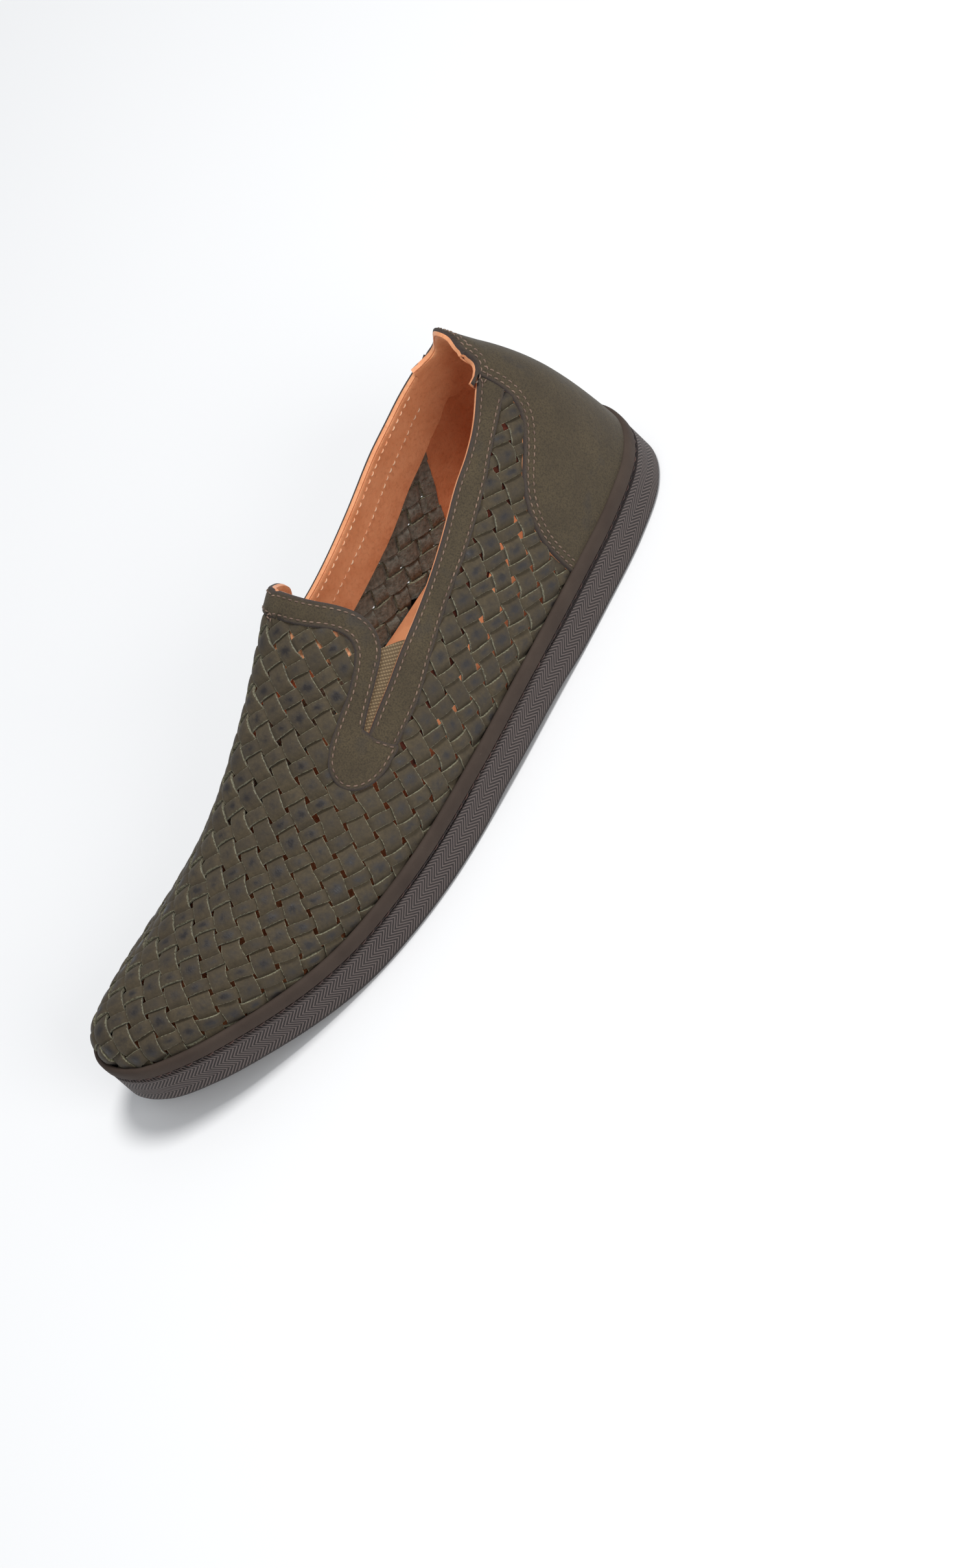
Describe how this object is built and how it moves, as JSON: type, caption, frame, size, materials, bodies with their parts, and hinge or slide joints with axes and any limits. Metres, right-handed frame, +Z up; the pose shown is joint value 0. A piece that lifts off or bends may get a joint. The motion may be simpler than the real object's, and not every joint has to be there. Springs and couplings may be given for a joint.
{
  "type": "slip-on shoe",
  "caption": "Left slip-on shoe with a woven leather upper, smooth heel panel, elastic gores at the throat and a low rubber cup sole.",
  "frame": {"origin": "middle of the footprint's bounding box, on the ground", "axes": "+Z up, -Y towards the toe, +X towards the outer side of the left foot"},
  "size_m": [0.095, 0.302, 0.1008],
  "materials": {
    "sole_rubber": "matte dark brown moulded rubber",
    "rand_rubber": "satin grey-brown rubber strip",
    "insole_leather": "matte tan leather",
    "woven_leather": "matte olive nubuck strips, burnished in the middle, with raw cut edges",
    "smooth_leather": "matte olive nubuck",
    "gore_elastic": "ribbed khaki elastic webbing"
  },
  "bodies": {
    "root": {"outsole": "sole_rubber", "rand": "rand_rubber", "insole": "insole_leather", "upper": "woven_leather", "heel_counter": "smooth_leather", "collar_strap_outer": "smooth_leather", "collar_strap_inner": "smooth_leather", "throat_band": "smooth_leather", "gore_outer": "gore_elastic", "gore_inner": "gore_elastic"}
  },
  "joints": []
}
